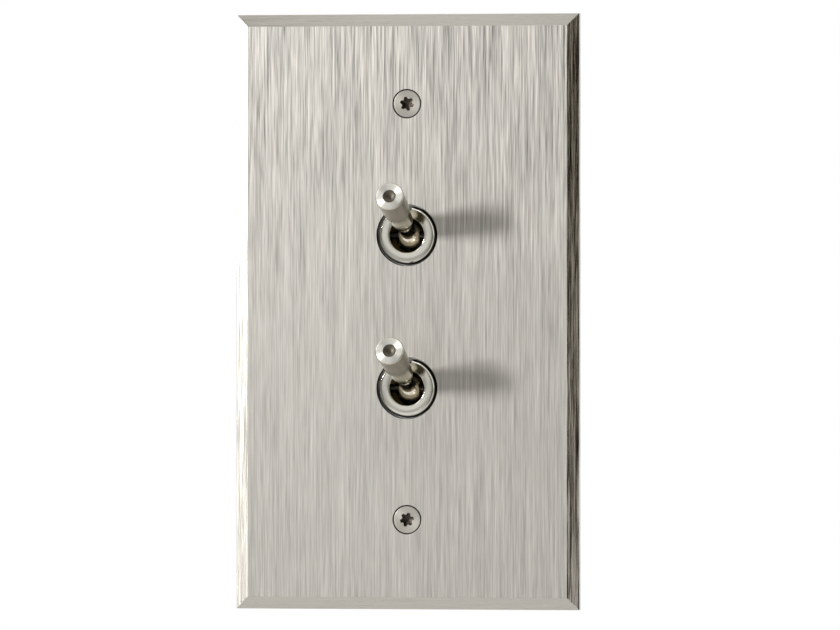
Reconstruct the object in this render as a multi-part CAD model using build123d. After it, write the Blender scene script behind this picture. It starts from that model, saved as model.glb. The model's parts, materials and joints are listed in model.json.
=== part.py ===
from build123d import *
import os
from math import cos, radians, sin, tan

# Two toggle switches on one wall plate. Lengths are in millimetres and angles in degrees.
# X runs to the right, Y into the wall and Z up. The origin is the middle of the plate, on the wall.

# Wall plate
PLATE_WIDTH = 70.0
PLATE_HEIGHT = 119.5
PLATE_THICKNESS = 2.0
BEVEL_WIDTH = 2.4
BEVEL_DEPTH = 0.5
POCKET_WIDTH = 56.0
POCKET_HEIGHT = 106.0
POCKET_DEPTH = 0.8
POCKET_CORNER = 3.0
BUSH_HOLE = 12.4

# Plate screws, which also fix the strap to the wall box
SCREW_PITCH = 83.5
SCREW_SINK = 5.9
SCREW_HEAD = 5.4
SCREW_HEAD_EDGE = 0.2
SCREW_THREAD = 3.0
SCREW_NECK = 2.6
SCREW_END = 20.0
SCREW_TIP = 0.6
SCREW_THREAD_START = 0.3
LOBE_ACROSS = 2.8
LOBE_WAIST = 2.04
LOBE_DEPTH = 1.0
LOBE_EASE = 0.04
LOBE_TURN = {"upper": 43.5, "lower": 12.0}

# Strap
STRAP_SHEET = 0.8
STRAP_LENGTH = 104.8
STRAP_WIDTH = 22.0
EAR_WIDTH = 32.0
EAR_HEIGHT = 10.0
STRAP_BEND = 1.2
STRAP_CRANK_OUTER = 34.0
STRAP_CRANK_INNER = 30.0
STRAP_SLOT = 5.6
STRAP_SLOT_GAP = 0.6
EAR_CORNER = 2.0
EAR_HOLE = 3.2
EAR_HOLE_PLACE = 11.0

# Toggles
TOGGLE_PITCH = 30.7
BUSH_OUTER = 11.75
BUSH_FACE_PROUD = 0.25
BUSH_LENGTH = 11.75
BUSH_CHAMFER = 0.5
BUSH_BORE = 7.1
BUSH_REAR_BORE = 9.2
BUSH_BORE_STEP = 4.5
BUSH_SPIGOT = 10.4
KEYWAY_WIDTH = 2.0
KEYWAY_DEPTH = 0.9
NUT_ACROSS_FLATS = 14.3
FRONT_NUT_THICKNESS = 1.8
REAR_NUT_THICKNESS = 2.0
NUT_GAP = 0.3
NUT_CORNER_DEPTH = 0.5
NUT_CORNER_WIDTH = 0.9
WASHER_OUTER = 16.2
WASHER_THICKNESS = 0.8
WASHER_TEETH = 12
WASHER_GULLET = 1.1
KEY_GAP = 0.2
RING_GAP = 0.1
THREAD_GAP = 0.02
SEAT_GAP = 0.01

# Lever
PIVOT_DEPTH = 3.85
LEVER_LENGTH = 24.0
LEVER_TILT = 18.5
TIP_DIAMETER = 5.8
TIP_EDGE = 0.35
BAT_LENGTH = 8.4
BAT_FOOT_DIAMETER = 5.3
STEM_STEP = 0.2
STEM_DIAMETER = 4.85
STEM_LENGTH = 6.6
STEM_END_DIAMETER = 4.3
SHOULDER_LENGTH = 2.4
SHOULDER_ROUND = 6.0
NECK_DIAMETER = 3.2
DIMPLE_DIAMETER = 2.7
DIMPLE_SLOPE = 50.0
BALL_DIAMETER = 5.5
BALL_WIDTH = 4.3
PIN_DIAMETER = 1.3
PIN_LENGTH = 11.0
PIN_GAP = 0.04
TAIL_DIAMETER = 3.8
TAIL_LENGTH = 7.2
TAIL_BORE = 2.5
TAIL_BORE_START = 1.7

# Plunger and spring
PLUNGER_DIAMETER = 2.4
PLUNGER_REACH = 10.4
PLUNGER_LENGTH = 5.4
SPRING_WIRE = 0.3
SPRING_DIAMETER = 2.3
SPRING_TURNS = 4
SPRING_WIRE_SIDES = 6
SPRING_GAP = 0.02

# Rocker
ROCKER_SHEET = 0.8
ROCKER_WIDTH = 5.0
ROCKER_RATIO = 2.0 / 3.0
NOSE_GAP = 0.35
ROCKER_SLOPE = 17.0
ROCKER_PEAK = 3.3
ROCKER_DIP = 7.4
ROCKER_DIP_DEPTH = 2.9
ROCKER_END = 9.6
ROCKER_BEND = 1.2
ROCKER_PAD_BEND = 0.4
ROCKER_EAR = 0.6
ROCKER_EAR_RADIUS = 1.2
LUG_RADIUS = 0.7
LUG_GAP = 0.05
CHEEK_GAP = 0.2
YOKE_GAP = 0.7
YOKE_THICKNESS = 1.0

# Case, cover and terminals
COVER_SHEET = 0.8
COVER_BEND = 0.9
COVER_LIP = 0.8
COVER_NOTCH = 4.0
CASE_LENGTH = 28.4
CASE_WIDTH = 16.0
CASE_DEPTH = 14.0
CASE_WALL = 1.6
CASE_FLOOR = 2.4
CASE_CORNER = 1.0
CASE_EDGE = 0.3
COVER_LEG = 20.0
COVER_TAB = 4.0
COVER_TAB_PLACE = 7.0
COVER_TAB_REACH = 1.6
RIB_PLACE = 4.0
RIB_THICKNESS = 1.0
RIB_HEIGHT = 3.0
RIB_INSET = 2.6
TERMINAL_PLACE = 7.9
POST_RADIUS = 2.4
POST_GAP = 0.02
BUTTON_RADIUS = 1.7
BUTTON_HEIGHT = 1.0
CONTACT_GAP = 0.03
CHEEK_THICKNESS = 0.8
CHEEK_HALF_HEIGHT = 2.0
TERMINAL_PLATE = 1.0
TERMINAL_PLATE_WIDTH = 8.0
TERMINAL_PLATE_HEIGHT = 5.4
BINDING_THREAD = 3.0
BINDING_HEAD = 5.2
BINDING_HEAD_HEIGHT = 1.6
BINDING_SLOT = 0.8
BINDING_SLOT_DEPTH = 0.8
BINDING_EDGE = 0.4
BINDING_LENGTH = 5.5
BINDING_END_GAP = 0.4

# Depths worked out from the values above. The front of the plate is at the smallest.
PLATE_FRONT = -PLATE_THICKNESS
POCKET_FLOOR = -POCKET_DEPTH
BUSH_FRONT = PLATE_FRONT - BUSH_FACE_PROUD
BUSH_BACK = BUSH_FRONT + BUSH_LENGTH
PIVOT_Y = BUSH_FRONT + PIVOT_DEPTH
FRONT_NUT_Y = POCKET_FLOOR + NUT_GAP
STRAP_Y = FRONT_NUT_Y + FRONT_NUT_THICKNESS
WASHER_Y = STRAP_Y + STRAP_SHEET
REAR_NUT_Y = WASHER_Y + WASHER_THICKNESS
CASE_FRONT = BUSH_BACK + COVER_SHEET
CASE_BACK = CASE_FRONT + CASE_DEPTH
CAVITY_BACK = CASE_BACK - CASE_FLOOR

# The rocker turns about the place where the plunger's nose is centred at mid travel.
NOSE_RADIUS = PLUNGER_DIAMETER / 2
NOSE_ORBIT = PLUNGER_REACH - NOSE_RADIUS
ROCKER_Y = PIVOT_Y + NOSE_ORBIT
ROCKER_TILT = LEVER_TILT * ROCKER_RATIO
SWITCHES = {"upper": TOGGLE_PITCH / 2, "lower": -TOGGLE_PITCH / 2}


def slab(sketch, front, back):
    """A sketch drawn in X and Z, made solid between two depths."""
    towards_room = Plane(origin=(0, back, 0), x_dir=(1, 0, 0), z_dir=(0, -1, 0))
    return extrude(towards_room * sketch, back - front)


def turned(points):
    """A solid turned about Y, from points given as radius and depth."""
    return revolve(make_face(Polyline(*points, close=True)), Axis.Y)


def rod(radius, front, back):
    """A round bar along Y."""
    return slab(Circle(radius), front, back)


def cross_rod(radius, low, high):
    """A round bar along X."""
    return extrude(Plane.YZ.offset(low) * Circle(radius), high - low)


def block(x, y, z):
    """A box from three pairs of low and high values."""
    size = Box(x[1] - x[0], y[1] - y[0], z[1] - z[0])
    return Pos((x[0] + x[1]) / 2, (y[0] + y[1]) / 2, (z[0] + z[1]) / 2) * size


def sheet_section(points, radii, thickness):
    """The section of a folded sheet. One skin follows the points and the other is behind it."""
    skin = FilletPolyline(*points, radius=radii)
    return make_face(offset(skin, amount=thickness, kind=Kind.INTERSECTION, side=Side.RIGHT))


# Plate and strap


def screw_places():
    return [Pos(0, 0, SCREW_PITCH / 2), Pos(0, 0, -SCREW_PITCH / 2)]


def faceplate():
    """Bevelled plate with a shallow pocket behind, two bush holes and two countersinks."""
    edge = PLATE_FRONT + BEVEL_DEPTH
    base = slab(Rectangle(PLATE_WIDTH, PLATE_HEIGHT), edge, 0)
    small = Rectangle(PLATE_WIDTH - 2 * BEVEL_WIDTH, PLATE_HEIGHT - 2 * BEVEL_WIDTH)
    large = Rectangle(PLATE_WIDTH, PLATE_HEIGHT)
    low = Plane(origin=(0, edge, 0), x_dir=(1, 0, 0), z_dir=(0, -1, 0))
    bevel = loft([low * large, low.offset(BEVEL_DEPTH) * small], ruled=True)
    plate = base + bevel
    pocket = RectangleRounded(POCKET_WIDTH, POCKET_HEIGHT, POCKET_CORNER)
    plate -= slab(pocket, POCKET_FLOOR, 1)
    for height in SWITCHES.values():
        plate -= Pos(0, 0, height) * rod(BUSH_HOLE / 2, PLATE_FRONT - 1, 1)
    mouth = SCREW_SINK / 2
    web = PLATE_THICKNESS - POCKET_DEPTH
    sink = turned(
        [
            (0, PLATE_FRONT),
            (mouth, PLATE_FRONT),
            (mouth - web, POCKET_FLOOR),
            (0, POCKET_FLOOR),
        ]
    )
    for place in screw_places():
        plate -= place * sink
    return plate


def strap():
    """Folded strap. Its ears lie in the plate's pocket and its middle is cranked back."""
    half = STRAP_LENGTH / 2
    front = [
        (POCKET_FLOOR, half),
        (POCKET_FLOOR, STRAP_CRANK_OUTER),
        (STRAP_Y, STRAP_CRANK_INNER),
        (STRAP_Y, -STRAP_CRANK_INNER),
        (POCKET_FLOOR, -STRAP_CRANK_OUTER),
        (POCKET_FLOOR, -half),
    ]
    section = sheet_section([(y, -z) for y, z in front], STRAP_BEND, STRAP_SHEET)
    body = extrude(Plane.YZ * section, EAR_WIDTH / 2, both=True)
    ear_place = half - EAR_HEIGHT / 2
    outline = Rectangle(STRAP_WIDTH, STRAP_LENGTH - EAR_HEIGHT)
    for side in (1, -1):
        outline += Pos(0, side * ear_place) * RectangleRounded(EAR_WIDTH, EAR_HEIGHT, EAR_CORNER)
    slot = Rot(0, 0, 90) * SlotOverall(STRAP_SLOT, SCREW_THREAD + STRAP_SLOT_GAP)
    for side in (1, -1):
        outline -= Pos(0, side * SCREW_PITCH / 2) * slot
        for place in (EAR_HOLE_PLACE, -EAR_HOLE_PLACE):
            outline -= Pos(place, side * ear_place) * Circle(EAR_HOLE / 2)
    for height in SWITCHES.values():
        outline -= Pos(0, height) * Circle(BUSH_OUTER / 2 + RING_GAP)
    return body & slab(outline, POCKET_FLOOR - 1, STRAP_Y + 2)


def plate_screw(turn):
    """Countersunk screw with a six-lobe recess. Its neck is thinner than its thread."""
    head = SCREW_HEAD / 2
    neck = SCREW_NECK / 2
    thread = SCREW_THREAD / 2
    top = PLATE_FRONT + (SCREW_SINK / 2 - head - SCREW_HEAD_EDGE) - SEAT_GAP
    cone_top = top + SCREW_HEAD_EDGE
    neck_top = cone_top + head - neck
    thread_top = POCKET_FLOOR + STRAP_SHEET + SCREW_THREAD_START
    screw = turned(
        [
            (0, top),
            (head, top),
            (head, cone_top),
            (neck, neck_top),
            (neck, thread_top),
            (thread, thread_top + thread - neck),
            (thread, SCREW_END - SCREW_TIP),
            (thread - SCREW_TIP, SCREW_END),
            (0, SCREW_END),
        ]
    )
    notch = (LOBE_ACROSS - LOBE_WAIST) / 2 + LOBE_EASE
    star = Circle(LOBE_ACROSS / 2)
    for k in range(6):
        around = Rot(0, 0, turn + 30 + 60 * k)
        star -= around * Pos(LOBE_ACROSS / 2 + LOBE_EASE, 0) * Circle(notch)
    return screw - slab(star, top, top + LOBE_DEPTH)


# Bush and its nuts


def bush():
    """Threaded bush, staked to the cover by the spigot at its back."""
    outer = BUSH_OUTER / 2
    bore = BUSH_BORE / 2
    rear = BUSH_REAR_BORE / 2
    spigot = BUSH_SPIGOT / 2
    body = turned(
        [
            (bore, BUSH_FRONT),
            (outer - BUSH_CHAMFER, BUSH_FRONT),
            (outer, BUSH_FRONT + BUSH_CHAMFER),
            (outer, BUSH_BACK),
            (spigot, BUSH_BACK),
            (spigot, CASE_FRONT),
            (rear, CASE_FRONT),
            (rear, BUSH_BORE_STEP + rear - bore),
            (bore, BUSH_BORE_STEP),
        ]
    )
    half = KEYWAY_WIDTH / 2
    body -= block((-half, half), (BUSH_FRONT, BUSH_BACK), (outer - KEYWAY_DEPTH, outer + 1))
    return body - Pos(0, PIVOT_Y, 0) * cross_rod(PIN_DIAMETER / 2, -outer, outer)


def nut(front, thickness):
    """Thin hexagon nut with its rear corners turned off."""
    blank = RegularPolygon(NUT_ACROSS_FLATS / 2, 6, major_radius=False)
    corner = NUT_ACROSS_FLATS / 2 / cos(radians(30))
    back = front + thickness
    turn_off = turned(
        [
            (0, front),
            (corner, front),
            (corner, back - NUT_CORNER_DEPTH),
            (corner - NUT_CORNER_WIDTH, back),
            (0, back),
        ]
    )
    body = slab(blank, front, back) & turn_off
    return body - rod(BUSH_OUTER / 2 + THREAD_GAP, front, back)


def lock_washer():
    """Toothed washer whose inner key sits in the bush's keyway."""
    ring = Circle(WASHER_OUTER / 2) - Circle(BUSH_OUTER / 2 + RING_GAP)
    gullet = Pos(WASHER_OUTER / 2, 0) * Rot(0, 0, 45) * Rectangle(WASHER_GULLET, WASHER_GULLET)
    for k in range(WASHER_TEETH):
        ring -= Rot(0, 0, 360 / WASHER_TEETH * k) * gullet
    key_foot = BUSH_OUTER / 2 - KEYWAY_DEPTH + KEY_GAP
    key_top = BUSH_OUTER / 2 + 2 * RING_GAP
    key = Rectangle(KEYWAY_WIDTH - KEY_GAP, key_top - key_foot)
    ring += Pos(0, (key_foot + key_top) / 2) * key
    return slab(ring, WASHER_Y, WASHER_Y + WASHER_THICKNESS)


# Lever, pin, plunger and spring, drawn with the lever straight out and the pivot at zero


def lever():
    """Turned lever: bat, thinner stem, neck, ball with two flats, and a hollow tail."""
    tip = TIP_DIAMETER / 2
    neck = NECK_DIAMETER / 2
    bat_y = BAT_LENGTH - LEVER_LENGTH
    stem_y = bat_y + STEM_LENGTH
    outline = Polyline(
        (0, -LEVER_LENGTH),
        (tip, -LEVER_LENGTH),
        (BAT_FOOT_DIAMETER / 2, bat_y),
        (STEM_DIAMETER / 2, bat_y + STEM_STEP),
        (STEM_END_DIAMETER / 2, stem_y),
        (neck, stem_y + SHOULDER_LENGTH),
        (neck, 0),
        (0, 0),
        close=True,
    )
    front = make_face(outline)
    rim = front.vertices().sort_by(Axis.Y)[0:2].sort_by(Axis.X)[-1]
    front = fillet(rim, TIP_EDGE)
    shoulder = front.vertices().filter_by(lambda corner: abs(corner.Y - stem_y) < SEAT_GAP)
    front = fillet(shoulder.sort_by(Axis.X)[-1], SHOULDER_ROUND)
    body = revolve(front, Axis.Y)
    ball = Sphere(BALL_DIAMETER / 2)
    ball &= Box(BALL_WIDTH, BALL_DIAMETER, BALL_DIAMETER)
    body += ball
    body += rod(TAIL_DIAMETER / 2, 0, TAIL_LENGTH)
    dimple = DIMPLE_DIAMETER / 2
    bottom = dimple * tan(radians(DIMPLE_SLOPE)) - LEVER_LENGTH
    body -= turned([(0, -LEVER_LENGTH), (dimple, -LEVER_LENGTH), (0, bottom)])
    body -= cross_rod(PIN_DIAMETER / 2 + PIN_GAP, -tip, tip)
    return body - rod(TAIL_BORE / 2, TAIL_BORE_START, TAIL_LENGTH)


def plunger():
    """Round plunger with a full-radius nose."""
    radius = PLUNGER_DIAMETER / 2
    body = rod(radius, PLUNGER_REACH - PLUNGER_LENGTH, NOSE_ORBIT)
    return body + Pos(0, NOSE_ORBIT, 0) * Sphere(radius)


def plunger_spring():
    """Coil spring between the end of the tail's bore and the plunger."""
    start = TAIL_BORE_START + SPRING_WIRE / 2
    stop = PLUNGER_REACH - PLUNGER_LENGTH - SPRING_WIRE / 2
    mean = (SPRING_DIAMETER - SPRING_WIRE) / 2
    height = stop - start - 2 * SPRING_GAP
    path = Helix(pitch=height / SPRING_TURNS, height=height, radius=mean)
    wire = RegularPolygon(SPRING_WIRE / 2, SPRING_WIRE_SIDES)
    coil = sweep(Plane(path @ 0, z_dir=path % 0) * wire, path)
    return Pos(0, start + SPRING_GAP, 0) * Rot(-90, 0, 0) * coil


# Rocker, drawn with its pivot at zero and square to the case


def rocker_skin():
    """Half of the rocker's front skin, as depth and height from its pivot."""
    apex = (NOSE_RADIUS + NOSE_GAP) / cos(radians(ROCKER_SLOPE))
    pad_rise = (ROCKER_END - ROCKER_DIP) * tan(radians(ROCKER_TILT))
    return [
        (apex, 0),
        (apex - ROCKER_PEAK * tan(radians(ROCKER_SLOPE)), ROCKER_PEAK),
        (ROCKER_DIP_DEPTH, ROCKER_DIP),
        (ROCKER_DIP_DEPTH - pad_rise, ROCKER_END),
    ]


def contact_depth():
    """How far behind the rocker's pivot a pad's rear skin is when it rests on its contact."""
    depth, height = rocker_skin()[2]
    turn = radians(ROCKER_TILT)
    return depth * cos(turn) + height * sin(turn) + ROCKER_SHEET


def rocker():
    """Folded rocking contact, with two side ears that carry its pivot lugs."""
    half = rocker_skin()
    skin = [(y, -z) for y, z in half[:0:-1]] + half
    middle = NOSE_RADIUS + NOSE_GAP
    radii = [ROCKER_PAD_BEND, ROCKER_BEND, middle, ROCKER_BEND, ROCKER_PAD_BEND]
    section = sheet_section(skin, radii, ROCKER_SHEET)
    side = ROCKER_WIDTH / 2
    body = extrude(Plane.YZ * section, side, both=True)
    ear = Circle(ROCKER_EAR_RADIUS)
    ear += Pos(middle / 2, 0) * Rectangle(middle, 2 * ROCKER_EAR_RADIUS)
    for sign in (1, -1):
        start = side if sign > 0 else -side - ROCKER_EAR
        body += extrude(Plane.YZ.offset(start) * ear, ROCKER_EAR)
        lug = side + ROCKER_EAR + CHEEK_GAP + CHEEK_THICKNESS
        low, high = (side, lug) if sign > 0 else (-lug, -side)
        body += cross_rod(LUG_RADIUS, low, high)
    return body


# Case, cover and terminals, drawn on the axis of one switch


def case():
    """Moulded case, open at the front, with barrier ribs between its terminals."""
    outline = RectangleRounded(CASE_WIDTH, CASE_LENGTH, CASE_CORNER)
    body = slab(outline, CASE_FRONT, CASE_BACK)
    upright = body.edges().filter_by(Axis.Z)
    sides = upright.filter_by(lambda edge: abs(edge.center().X) > CASE_WIDTH / 2 - CASE_EDGE)
    body = chamfer(sides, CASE_EDGE)
    cavity = Rectangle(CASE_WIDTH - 2 * CASE_WALL, CASE_LENGTH - 2 * CASE_WALL)
    body -= slab(cavity, CASE_FRONT, CAVITY_BACK)
    for place in (0, TERMINAL_PLACE, -TERMINAL_PLACE):
        body -= Pos(0, 0, place) * rod(POST_RADIUS + POST_GAP, CAVITY_BACK, CASE_BACK)
    side = CASE_WIDTH / 2 - RIB_INSET
    for place in (RIB_PLACE, -RIB_PLACE):
        low, high = place - RIB_THICKNESS / 2, place + RIB_THICKNESS / 2
        body += block((-side, side), (CASE_BACK, CASE_BACK + RIB_HEIGHT), (low, high))
    return body


def cover():
    """Folded steel cover. Its legs hug the case and four tabs fold under it."""
    inner = CASE_WIDTH / 2
    outer = inner + COVER_SHEET
    low = CASE_BACK + COVER_SHEET
    skin = [
        (inner - COVER_TAB_REACH, low),
        (outer, low),
        (outer, BUSH_BACK),
        (-outer, BUSH_BACK),
        (-outer, low),
        (COVER_TAB_REACH - inner, low),
    ]
    section = sheet_section(skin, COVER_BEND, COVER_SHEET)
    body = extrude(section, CASE_LENGTH / 2, both=True)
    for sign in (1, -1):
        end = sorted((sign * COVER_LEG / 2, sign * CASE_LENGTH))
        body -= block((-outer, outer), (CASE_FRONT + COVER_LIP, low), end)
        notch = sorted((sign * (COVER_TAB_PLACE + COVER_TAB / 2), sign * CASE_LENGTH))
        body -= block((-outer, outer), (CASE_BACK - COVER_NOTCH, low), notch)
    gap = COVER_TAB_PLACE - COVER_TAB / 2
    body -= block((-outer, outer), (CASE_BACK - COVER_NOTCH, low), (-gap, gap))
    return body - rod(BUSH_SPIGOT / 2 + SEAT_GAP, BUSH_BACK, CASE_FRONT)


def terminal_foot(front):
    """What all terminals share: the post from that depth, and the plate under the binding screw."""
    plate = Rectangle(TERMINAL_PLATE_WIDTH, TERMINAL_PLATE_HEIGHT)
    return rod(POST_RADIUS, front, CASE_BACK) + slab(plate, CASE_BACK, CASE_BACK + TERMINAL_PLATE)


def tapped(body):
    """The terminal with its screw hole, tapped from behind."""
    back = CASE_BACK + TERMINAL_PLATE
    return body - rod(BINDING_THREAD / 2 + THREAD_GAP, back - BINDING_LENGTH, back)


def contact_terminal():
    """Terminal with a round contact button for the rocker's pad."""
    face = ROCKER_Y + contact_depth() + CONTACT_GAP
    shoulder = face + BUTTON_HEIGHT
    return tapped(rod(BUTTON_RADIUS, face, shoulder) + terminal_foot(shoulder))


def centre_terminal():
    """Terminal with two slotted cheeks, in which the rocker's lugs turn."""
    inner = ROCKER_WIDTH / 2 + ROCKER_EAR + CHEEK_GAP
    outer = inner + CHEEK_THICKNESS
    base = ROCKER_Y + NOSE_RADIUS + NOSE_GAP + ROCKER_SHEET + YOKE_GAP
    tops = CASE_FRONT + CASE_EDGE
    span = (-CHEEK_HALF_HEIGHT, CHEEK_HALF_HEIGHT)
    body = block((-outer, outer), (base, base + YOKE_THICKNESS), span)
    for pair in ((inner, outer), (-outer, -inner)):
        body += block(pair, (tops, base), span)
    wide = LUG_RADIUS + LUG_GAP
    slot = Pos(0, ROCKER_Y, 0) * cross_rod(wide, -outer, outer)
    slot += block((-outer, outer), (tops, ROCKER_Y), (-wide, wide))
    return tapped(body - slot + terminal_foot(base + YOKE_THICKNESS))


def binding_screw():
    """Slotted binding screw, seated on its terminal's plate."""
    seat = CASE_BACK + TERMINAL_PLATE
    top = seat + BINDING_HEAD_HEIGHT
    head = BINDING_HEAD / 2
    thread = BINDING_THREAD / 2
    tip = seat - BINDING_LENGTH + BINDING_END_GAP
    body = turned(
        [
            (0, tip),
            (thread, tip),
            (thread, seat),
            (head, seat),
            (head, top - BINDING_EDGE),
            (head - BINDING_EDGE, top),
            (0, top),
        ]
    )
    half = BINDING_SLOT / 2
    return body - block((-head, head), (top - BINDING_SLOT_DEPTH, top), (-half, half))


def write(name, shape):
    export_step(shape, f"parts/{name}.step")


def main():
    os.makedirs("parts", exist_ok=True)
    write("faceplate", faceplate())
    write("mounting_strap", strap())
    for name, place in zip(SWITCHES, screw_places()):
        write(f"{name}_plate_screw", place * plate_screw(LOBE_TURN[name]))
    for name, height in SWITCHES.items():
        place = Pos(0, 0, height)
        write(f"{name}_bush", place * bush())
        write(f"{name}_front_nut", place * nut(FRONT_NUT_Y, FRONT_NUT_THICKNESS))
        write(f"{name}_lock_washer", place * lock_washer())
        write(f"{name}_rear_nut", place * nut(REAR_NUT_Y, REAR_NUT_THICKNESS))
        write(f"{name}_cover", place * cover())
        write(f"{name}_case", place * case())
        pivot = place * Pos(0, PIVOT_Y, 0)
        pin = cross_rod(PIN_DIAMETER / 2 - SEAT_GAP / 2, -PIN_LENGTH / 2, PIN_LENGTH / 2)
        write(f"{name}_pivot_pin", pivot * pin)
        tilted = pivot * Rot(-LEVER_TILT, 0, 0)
        write(f"{name}_lever", tilted * lever())
        write(f"{name}_plunger", tilted * plunger())
        write(f"{name}_plunger_spring", tilted * plunger_spring())
        rocking = place * Pos(0, ROCKER_Y, 0) * Rot(ROCKER_TILT, 0, 0)
        write(f"{name}_rocker", rocking * rocker())
        write(f"{name}_centre_terminal", place * centre_terminal())
        above = Pos(0, 0, TERMINAL_PLACE)
        below = Pos(0, 0, -TERMINAL_PLACE)
        write(f"{name}_top_terminal", place * above * contact_terminal())
        write(f"{name}_bottom_terminal", place * below * contact_terminal())
        screws = [place * spot * binding_screw() for spot in (above, Pos(0, 0, 0), below)]
        write(f"{name}_terminal_screws", Compound(children=screws))


main()
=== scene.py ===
import json
from math import asin, atan2, ceil, cos, hypot, pi, radians, sin, sqrt, tan

import bmesh
import bpy
from mathutils import Matrix, Vector


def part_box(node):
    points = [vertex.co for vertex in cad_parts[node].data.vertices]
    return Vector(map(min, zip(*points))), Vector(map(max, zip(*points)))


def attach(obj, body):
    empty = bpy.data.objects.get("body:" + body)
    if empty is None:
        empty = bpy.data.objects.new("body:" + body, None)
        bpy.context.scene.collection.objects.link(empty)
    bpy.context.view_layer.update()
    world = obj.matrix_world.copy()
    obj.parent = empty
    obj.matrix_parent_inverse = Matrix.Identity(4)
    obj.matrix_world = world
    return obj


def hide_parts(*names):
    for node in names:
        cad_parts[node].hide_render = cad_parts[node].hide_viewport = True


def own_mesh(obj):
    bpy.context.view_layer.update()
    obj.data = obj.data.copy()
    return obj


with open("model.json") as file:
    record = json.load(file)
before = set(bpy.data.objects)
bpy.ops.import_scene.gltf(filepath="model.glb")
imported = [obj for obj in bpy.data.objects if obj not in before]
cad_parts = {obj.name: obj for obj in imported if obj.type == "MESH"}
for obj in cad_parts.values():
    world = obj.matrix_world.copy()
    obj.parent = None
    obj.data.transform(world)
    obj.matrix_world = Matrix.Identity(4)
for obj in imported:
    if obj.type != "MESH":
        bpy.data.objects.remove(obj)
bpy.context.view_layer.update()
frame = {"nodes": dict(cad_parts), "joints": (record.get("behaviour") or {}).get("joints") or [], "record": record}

# Lengths of the rebuilt pieces are in millimetres and angles in degrees, with the values of the
# part's source. Everything else is in metres. X runs to the right, Y into the wall and Z up.
MM = 0.001

# Faceplate
BEVEL_WIDTH = 2.4
BEVEL_DEPTH = 0.5
POCKET_WIDTH = 56.0
POCKET_HEIGHT = 106.0
POCKET_DEPTH = 0.8
POCKET_CORNER = 3.0
BUSH_HOLE = 12.4
SCREW_SINK = 5.9
PLATE_EASE = 0.07
CUTTER_SPARE = 1.0
SINK_SPARE = 0.5

# Eased edges of the carried-over nodes
SHEET_EASE = 0.08
CASE_EASE = 0.12

# Plate screws
SCREW_HEAD = 5.4
SCREW_HEAD_EDGE = 0.2
SCREW_THREAD = 3.0
SCREW_PITCH = 0.5
SCREW_NECK = 2.6
SCREW_END = 20.0
SCREW_TIP = 0.6
SCREW_TOP = -1.96
SCREW_NECK_END = 0.29
SCREW_THREAD_TOP = 0.3
SCREW_EASE = 0.05
SCREW_FACE_RINGS = (0.9, 0.35)
LOBE_ACROSS = 2.8
LOBE_WAIST = 2.04
LOBE_DEPTH = 1.0
LOBE_EASE = 0.04
LOBE_TURN = {"upper": 43.5, "lower": 12.0}
RECESS_POINT = 0.28
RECESS_CONE = 0.2
RECESS_DRAFT = 0.06
RECESS_LIP = 0.3
RECESS_LIP_DRAFT = 0.01

# Bushes
BUSH_OUTER = 11.75
BUSH_LENGTH = 11.75
BUSH_FRONT = -2.25
BUSH_CHAMFER = 0.5
BUSH_BORE = 7.1
BUSH_BORE_EASE = 0.14
BUSH_FACE_EASE = 0.05
BUSH_REAR_BORE = 9.2
BUSH_BORE_STEP = 4.5
BUSH_SPIGOT = 10.4
BUSH_SPIGOT_LENGTH = 0.8
BUSH_SPIGOT_EASE = 0.15
BUSH_THREAD_PITCH = 0.794
BUSH_THREAD_START = 0.03
KEYWAY_WIDTH = 2.0
KEYWAY_DEPTH = 0.9

# Levers
LEVER_LENGTH = 24.0
TIP_DIAMETER = 5.8
TIP_EDGE = 0.35
BAT_LENGTH = 8.4
BAT_FOOT_DIAMETER = 5.3
STEM_STEP = 0.2
STEM_DIAMETER = 4.85
STEM_LENGTH = 6.6
STEM_END_DIAMETER = 4.3
STEP_EASE = 0.06
SHOULDER_LENGTH = 2.4
SHOULDER_ROUND = 6.0
NECK_DIAMETER = 3.2
NECK_ROUND = 1.5
DIMPLE_DIAMETER = 2.7
DIMPLE_SLOPE = 50.0
BALL_DIAMETER = 5.5
BALL_WIDTH = 4.3
PIN_DIAMETER = 1.3
PIN_GAP_IN_LEVER = 0.04
PIN_GAP_IN_BUSH = 0.01
TAIL_DIAMETER = 3.8
TAIL_LENGTH = 7.2
TAIL_EASE = 0.12
TAIL_BORE = 2.5
TAIL_BORE_START = 1.7

# Plunger springs
SPRING_WIRE = 0.3
SPRING_DIAMETER = 2.3
SPRING_TURNS = 4
SPRING_CLOSED_TURNS = 0.75
SPRING_START = 1.72
SPRING_STOP = 4.98

# How finely round forms are divided
PLATE_HOLE_STEPS = 160
SINK_STEPS = 96
SCREW_STEPS = 72
BUSH_STEPS = 144
LEVER_STEPS = 128
PIN_STEPS = 32
BALL_ARC_STEPS = 24
WIRE_STEPS = 10
SPRING_STEPS = 36
ARC_STEP = 15
FINE_ARC_STEP = 7.5

# A thread of 60 degrees: its depth, flat crest and flat root as shares of the pitch
THREAD_DEPTH = 0.6134
THREAD_CREST = 1 / 8
THREAD_ROOT = 1 / 4

# Parts of a normal that tell a flat, a slanted and a square face apart
FLAT = 0.9
SLANT = 0.1
SQUARE = 0.01

# Distances that keep the choice of a face's finish clear of small rounded edges
FRONT_MARGIN = 0.02
TIP_MARGIN = 0.05
EDGE_MARGIN = 0.1

# The camera stands to the right and looks level at the plate
VIEW_AZIMUTH = 10.5
VIEW_DISTANCE = 2.0
VIEW_LENS = 426.8
VIEW_SENSOR = 36.0
VIEW_CLIP = (0.1, 20.0)
AIM_RIGHT = 0.00244
AIM_DOWN = 0.00066

FLOOR_SIZE = (12.0, 8.0)
FLOOR_PLACE = (0, -3.4, -0.09)
FLOOR_COLOUR = (0.88, 0.88, 0.87)
CARD_COLOUR = (0.05, 0.038, 0.012)
WORLD_DIFFUSE = 0.5

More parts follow.
